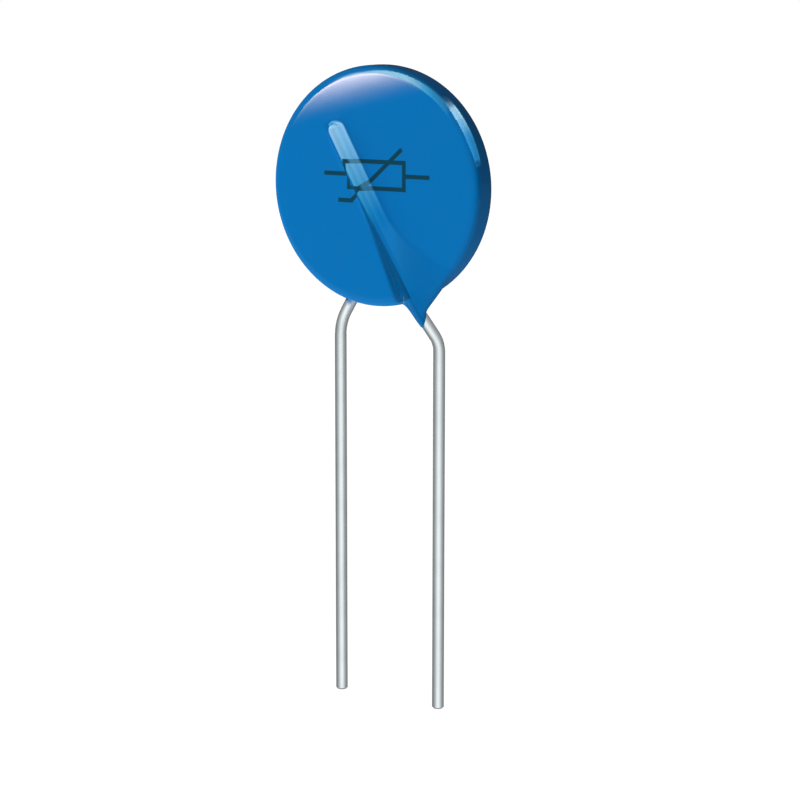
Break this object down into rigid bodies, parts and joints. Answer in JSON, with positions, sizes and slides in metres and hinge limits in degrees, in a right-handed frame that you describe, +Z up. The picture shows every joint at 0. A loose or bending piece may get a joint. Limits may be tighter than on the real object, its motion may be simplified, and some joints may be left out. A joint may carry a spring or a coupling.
{
  "type": "disc varistor",
  "caption": "Round disc varistor dipped in blue epoxy, its slanting wires showing as ridges under the coat, with straight tinned pins for through-hole soldering.",
  "frame": {"origin": "midway between the pins on the seating plane, the height at which the front pin becomes straight", "axes": "+Z up from the pins to the disc, the pins point down to -Z, -Y is the front face and +X is towards the front face's pin"},
  "size_m": [0.02, 0.0044, 0.054],
  "materials": {
    "zinc_oxide": "matt, dark grey, fine grained",
    "fired_silver": "matt silver layer",
    "solder": "smooth tin solder",
    "tinned_wire": "bright tinned copper wire",
    "blue_epoxy": "glossy dipped epoxy, mid blue"
  },
  "bodies": {
    "root": {"ceramic_disc": "zinc_oxide", "front_electrode": "fired_silver", "rear_electrode": "fired_silver", "front_solder": "solder", "rear_solder": "solder", "front_lead": "tinned_wire", "rear_lead": "tinned_wire", "coating": "blue_epoxy"}
  },
  "joints": []
}
